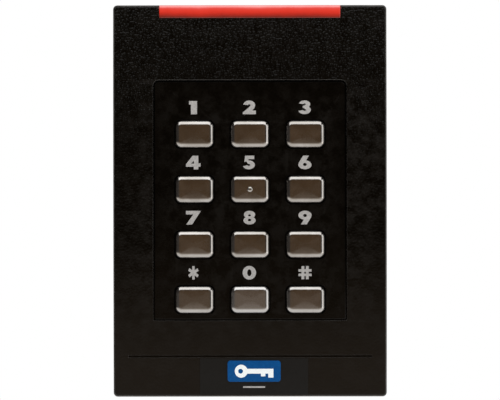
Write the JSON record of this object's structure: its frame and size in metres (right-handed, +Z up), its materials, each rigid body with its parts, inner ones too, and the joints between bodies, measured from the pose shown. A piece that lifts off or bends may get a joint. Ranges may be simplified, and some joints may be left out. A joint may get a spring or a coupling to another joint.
{
  "type": "keypad access reader",
  "caption": "Wall-mounted keypad access reader: crowned black case, bevelled metal keys on a sunken panel, red light bar, electronics tray behind and a slotted wall plate.",
  "frame": {"origin": "centre of the wall plate's screw pattern, on the wall plane", "axes": "+Z up the wall, -Y out of the wall towards the user, +X to the user's right"},
  "size_m": [0.0848, 0.0282, 0.1216],
  "materials": {
    "case_plastic": "fine-grained moulded black",
    "panel_plastic": "smooth satin black",
    "legend_ink": "printed light grey",
    "light_lens": "tinted diffusing red",
    "label_film": "thin satin film",
    "badge_blue": "domed gloss",
    "badge_white": "printed white",
    "key_metal": "polished bevel, satin face",
    "carbon_pill": "conductive carbon rubber",
    "silicone": "translucent silicone",
    "circuit_board": "solder mask",
    "gold_plating": "plated",
    "led_white": "clear lens on ceramic",
    "zinc_steel": "zinc plated",
    "socket_ivory": "ivory nylon",
    "ribbon_film": "flat flex film",
    "chip_black": "moulded epoxy",
    "copper_winding": "enamelled copper",
    "tinned_can": "tinned",
    "seal_rubber": "soft black",
    "tray_plastic": "moulded black",
    "terminal_green": "green nylon",
    "sensor_lens": "dark infrared window",
    "plate_plastic": "moulded black",
    "insert_brass": "knurled",
    "lock_steel": "stainless"
  },
  "bodies": {
    "case": {"front_cover": "case_plastic", "keypad_panel": "panel_plastic", "keypad_legends": "legend_ink", "light_bar": "light_lens", "lower_label": "label_film", "label_line": "legend_ink", "badge": "badge_blue", "badge_symbol": "badge_white", "keypad_mat": "silicone", "keypad_board": "circuit_board", "keypad_contacts": "gold_plating", "backlight_leds": "led_white", "keypad_screws": "zinc_steel", "ribbon_socket_upper": "socket_ivory", "ribbon_socket_lower": "socket_ivory", "ribbon_cable": "ribbon_film", "main_board": "circuit_board", "processor_chips": "chip_black", "reader_coil": "copper_winding", "indicator_leds": "led_white", "sounder": "chip_black", "crystal_can": "tinned_can", "perimeter_seal": "seal_rubber", "rear_tray": "tray_plastic", "tray_screws": "zinc_steel", "terminal_block": "terminal_green", "terminal_screws": "zinc_steel", "tamper_sensor": "sensor_lens", "wall_plate": "plate_plastic", "lock_insert": "insert_brass", "lock_screw": "lock_steel"},
    "key_1": {"key_1": "key_metal", "contact_pill_1": "carbon_pill"},
    "key_2": {"key_2": "key_metal", "contact_pill_2": "carbon_pill"},
    "key_3": {"key_3": "key_metal", "contact_pill_3": "carbon_pill"},
    "key_4": {"key_4": "key_metal", "contact_pill_4": "carbon_pill"},
    "key_5": {"key_5": "key_metal", "contact_pill_5": "carbon_pill"},
    "key_6": {"key_6": "key_metal", "contact_pill_6": "carbon_pill"},
    "key_7": {"key_7": "key_metal", "contact_pill_7": "carbon_pill"},
    "key_8": {"key_8": "key_metal", "contact_pill_8": "carbon_pill"},
    "key_9": {"key_9": "key_metal", "contact_pill_9": "carbon_pill"},
    "key_star": {"key_star": "key_metal", "contact_pill_star": "carbon_pill"},
    "key_0": {"key_0": "key_metal", "contact_pill_0": "carbon_pill"},
    "key_hash": {"key_hash": "key_metal", "contact_pill_hash": "carbon_pill"}
  },
  "joints": [
    {"name": "key_1_press", "type": "slide", "parent": "case", "child": "key_1", "axis": [0, 1, 0], "range_m": [0, 0.0008], "stiffness_N_per_m": 600, "springref_m": -0.0005, "deforming": ["keypad_mat"]},
    {"name": "key_2_press", "type": "slide", "parent": "case", "child": "key_2", "axis": [0, 1, 0], "range_m": [0, 0.0008], "stiffness_N_per_m": 600, "springref_m": -0.0005, "deforming": ["keypad_mat"]},
    {"name": "key_3_press", "type": "slide", "parent": "case", "child": "key_3", "axis": [0, 1, 0], "range_m": [0, 0.0008], "stiffness_N_per_m": 600, "springref_m": -0.0005, "deforming": ["keypad_mat"]},
    {"name": "key_4_press", "type": "slide", "parent": "case", "child": "key_4", "axis": [0, 1, 0], "range_m": [0, 0.0008], "stiffness_N_per_m": 600, "springref_m": -0.0005, "deforming": ["keypad_mat"]},
    {"name": "key_5_press", "type": "slide", "parent": "case", "child": "key_5", "axis": [0, 1, 0], "range_m": [0, 0.0008], "stiffness_N_per_m": 600, "springref_m": -0.0005, "deforming": ["keypad_mat"]},
    {"name": "key_6_press", "type": "slide", "parent": "case", "child": "key_6", "axis": [0, 1, 0], "range_m": [0, 0.0008], "stiffness_N_per_m": 600, "springref_m": -0.0005, "deforming": ["keypad_mat"]},
    {"name": "key_7_press", "type": "slide", "parent": "case", "child": "key_7", "axis": [0, 1, 0], "range_m": [0, 0.0008], "stiffness_N_per_m": 600, "springref_m": -0.0005, "deforming": ["keypad_mat"]},
    {"name": "key_8_press", "type": "slide", "parent": "case", "child": "key_8", "axis": [0, 1, 0], "range_m": [0, 0.0008], "stiffness_N_per_m": 600, "springref_m": -0.0005, "deforming": ["keypad_mat"]},
    {"name": "key_9_press", "type": "slide", "parent": "case", "child": "key_9", "axis": [0, 1, 0], "range_m": [0, 0.0008], "stiffness_N_per_m": 600, "springref_m": -0.0005, "deforming": ["keypad_mat"]},
    {"name": "key_star_press", "type": "slide", "parent": "case", "child": "key_star", "axis": [0, 1, 0], "range_m": [0, 0.0008], "stiffness_N_per_m": 600, "springref_m": -0.0005, "deforming": ["keypad_mat"]},
    {"name": "key_0_press", "type": "slide", "parent": "case", "child": "key_0", "axis": [0, 1, 0], "range_m": [0, 0.0008], "stiffness_N_per_m": 600, "springref_m": -0.0005, "deforming": ["keypad_mat"]},
    {"name": "key_hash_press", "type": "slide", "parent": "case", "child": "key_hash", "axis": [0, 1, 0], "range_m": [0, 0.0008], "stiffness_N_per_m": 600, "springref_m": -0.0005, "deforming": ["keypad_mat"]}
  ]
}
